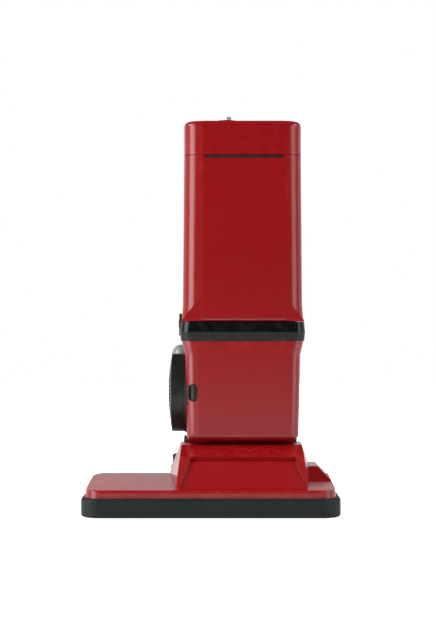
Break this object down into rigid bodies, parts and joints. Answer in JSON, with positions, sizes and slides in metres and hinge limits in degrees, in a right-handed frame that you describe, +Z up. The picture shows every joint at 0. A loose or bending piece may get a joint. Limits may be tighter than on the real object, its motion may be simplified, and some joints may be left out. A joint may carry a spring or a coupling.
{
  "type": "upright vacuum cleaner",
  "caption": "Commercial upright vacuum cleaner: tall red bag housing with an opening door over a black band and motor housing, reclining on a wide offset brush head with bumper and wheels",
  "frame": {"origin": "On the floor, at the middle of the overall width and depth", "axes": "+Z is up, the longest extent. The brush head's front faces -Y. +X is to the right when the front is seen."},
  "size_m": [0.474, 0.338, 0.7685],
  "materials": {
    "red_shell": "moulded, satin gloss",
    "black_plastic": "fine moulded texture",
    "grey_plastic": "moulded",
    "bumper_rubber": "soft, matte",
    "tyre": "matte",
    "clear_plastic": "smoky, see-through",
    "dark_lens": "dark tinted",
    "steel": "zinc plated",
    "pulley": "turned",
    "armature": "laminated steel and copper",
    "bristle": "stiff nylon tufts",
    "bag_paper": "two-ply filter paper",
    "foam": "open-cell filter foam",
    "pleat": "pleated filter paper",
    "board": "printed circuit board"
  },
  "bodies": {
    "power_head": {"chassis": "black_plastic", "sole_plate": "steel", "sole_screws": "steel", "hood": "red_shell", "bumper": "bumper_rubber", "swivel_housing": "black_plastic", "suction_duct": "black_plastic", "brush_bearings": "black_plastic", "brush_motor_case": "black_plastic", "drive_belt": "bumper_rubber", "pivot_pin": "steel", "axle_pins": "steel", "roller_pins": "steel", "pedal_pin": "steel"},
    "brush": {"brush_core": "grey_plastic", "brush_bristles": "bristle", "brush_pulley": "pulley"},
    "brush_motor": {"brush_motor_armature": "armature", "motor_pulley": "pulley"},
    "left_wheel": {"wheel_left": "grey_plastic", "tyre_left": "tyre"},
    "right_wheel": {"wheel_right": "grey_plastic", "tyre_right": "tyre"},
    "left_roller": {"roller_left": "bumper_rubber"},
    "right_roller": {"roller_right": "bumper_rubber"},
    "pedal": {"release_pedal": "black_plastic"},
    "upright_body": {"recline_yoke": "black_plastic", "swivel_elbow": "black_plastic", "lower_hose": "bumper_rubber", "duct_elbow": "clear_plastic", "riser_duct": "black_plastic", "riser_clips": "black_plastic", "lower_front_shell": "red_shell", "lower_rear_shell": "red_shell", "window_bezel": "black_plastic", "window_lens": "dark_lens", "circuit_board": "board", "mid_band": "black_plastic", "pre_motor_filter": "foam", "upper_housing": "red_shell", "hinge_pins": "steel", "top_cap": "red_shell", "wand_socket": "red_shell", "cord_gland": "bumper_rubber", "cord_hook_lower": "black_plastic", "bag_mount": "grey_plastic", "filter_bag": "bag_paper", "fan_housing": "black_plastic", "exhaust_ring": "black_plastic", "exhaust_filter": "pleat"},
    "fan": {"fan_armature": "armature", "fan_impeller": "grey_plastic"},
    "door": {"bag_door": "red_shell", "door_seal": "bumper_rubber"},
    "latch": {"latch_bar": "black_plastic", "latch_springs": "steel"},
    "vent_cap": {"exhaust_cap": "black_plastic"},
    "power_switch": {"rocker_switch": "grey_plastic"},
    "wand_lock": {"lock_button": "grey_plastic"},
    "hook": {"cord_hook_upper": "black_plastic"}
  },
  "joints": [
    {"name": "recline", "type": "hinge", "parent": "power_head", "child": "upright_body", "pos_m": [0.06, 0.076, 0.075], "axis": [-1, 0, 0], "range_deg": [0, 65]},
    {"name": "brush_spin", "type": "hinge", "parent": "power_head", "child": "brush", "pos_m": [0, -0.107, 0.0245], "axis": [1, 0, 0], "continuous": true},
    {"name": "brush_motor_spin", "type": "hinge", "parent": "power_head", "child": "brush_motor", "pos_m": [0.119, 0.009, 0.04], "axis": [1, 0, 0], "continuous": true},
    {"name": "left_wheel_spin", "type": "hinge", "parent": "power_head", "child": "left_wheel", "pos_m": [-0.071, 0.126, 0.033], "axis": [1, 0, 0], "continuous": true},
    {"name": "right_wheel_spin", "type": "hinge", "parent": "power_head", "child": "right_wheel", "pos_m": [0.194, 0.126, 0.033], "axis": [1, 0, 0], "continuous": true},
    {"name": "left_roller_spin", "type": "hinge", "parent": "power_head", "child": "left_roller", "pos_m": [-0.185, -0.047, 0.011], "axis": [1, 0, 0], "continuous": true},
    {"name": "right_roller_spin", "type": "hinge", "parent": "power_head", "child": "right_roller", "pos_m": [0.185, -0.047, 0.011], "axis": [1, 0, 0], "continuous": true},
    {"name": "pedal_press", "type": "hinge", "parent": "power_head", "child": "pedal", "pos_m": [-0.12, 0.042, 0.043], "axis": [-1, 0, 0], "range_deg": [0, 12], "stiffness_Nm_per_rad": 1.2, "springref_deg": -5.73},
    {"name": "fan_spin", "type": "hinge", "parent": "upright_body", "child": "fan", "pos_m": [0.075, 0.041, 0.216], "axis": [1, 0, 0], "continuous": true},
    {"name": "door_swing", "type": "hinge", "parent": "upright_body", "child": "door", "pos_m": [0.06, -0.038, 0.3609], "axis": [1, 0, 0], "range_deg": [0, 90]},
    {"name": "latch_press", "type": "slide", "parent": "door", "child": "latch", "axis": [0, 0, -1], "range_m": [0, 0.0028], "stiffness_N_per_m": 400, "springref_m": -0.003, "deforming": ["latch_springs"]},
    {"name": "vent_cap_twist", "type": "hinge", "parent": "upright_body", "child": "vent_cap", "pos_m": [-0.068, 0.044, 0.216], "axis": [1, 0, 0], "range_deg": [0, 20]},
    {"name": "switch_rock", "type": "hinge", "parent": "upright_body", "child": "power_switch", "pos_m": [0.115, 0.121, 0.62], "axis": [-1, 0, 0], "range_deg": [0, 14]},
    {"name": "wand_lock_pull", "type": "slide", "parent": "upright_body", "child": "wand_lock", "axis": [0, 1, 0], "range_m": [0, 0.0035], "stiffness_N_per_m": 500, "springref_m": -0.003},
    {"name": "cord_hook_turn", "type": "hinge", "parent": "upright_body", "child": "hook", "pos_m": [-0.028, 0.13, 0.6], "axis": [0, -1, 0], "range_deg": [0, 180]}
  ],
  "couplings": [
    {"joint": "brush_motor_spin", "follows": "brush_spin", "ratio": 1.4444}
  ]
}
